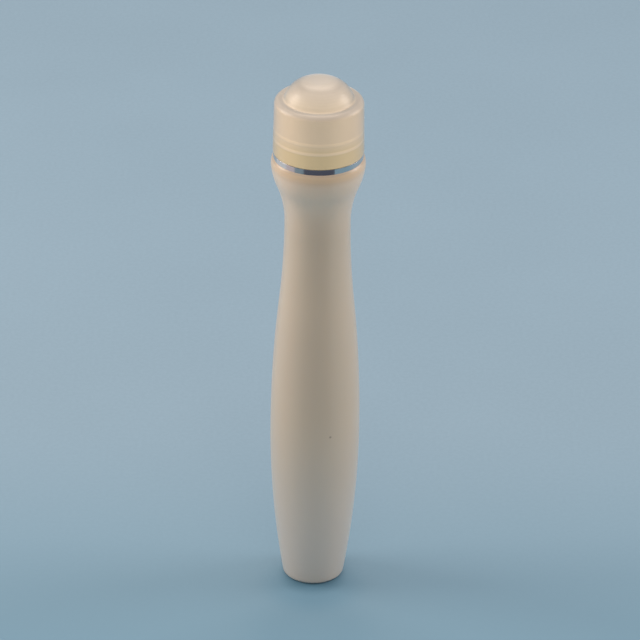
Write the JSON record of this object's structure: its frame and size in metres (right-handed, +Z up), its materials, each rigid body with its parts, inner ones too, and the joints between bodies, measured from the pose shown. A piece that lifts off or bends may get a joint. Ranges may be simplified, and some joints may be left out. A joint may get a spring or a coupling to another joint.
{
  "type": "roll-on bottle",
  "caption": "Slim waisted plastic bottle with a roller ball held in a socket plug, a plated ring round the neck and a domed push-on cap.",
  "frame": {"origin": "middle of the base, on the surface that the bottle stands on", "axes": "+Z up along the bottle's axis towards the cap, +Y away from the viewer of the picture"},
  "size_m": [0.02, 0.02, 0.1186],
  "materials": {
    "bottle": "satin cream moulded plastic",
    "neck_ring": "bright plated",
    "ball_housing": "natural moulded plastic",
    "roller_ball": "polished white",
    "cap": "translucent natural plastic, frosted inside"
  },
  "bodies": {
    "bottle": {"bottle": "bottle", "neck_ring": "neck_ring", "ball_housing": "ball_housing"},
    "ball": {"roller_ball": "roller_ball"},
    "cap": {"cap": "cap"}
  },
  "joints": [
    {"name": "ball_roll", "type": "hinge", "parent": "bottle", "child": "ball", "pos_m": [0, 0, 0.1118], "axis": [1, 0, 0], "continuous": true},
    {"name": "cap_pull", "type": "slide", "parent": "bottle", "child": "cap", "axis": [0, 0, 1], "range_m": [0, 0.03]}
  ]
}
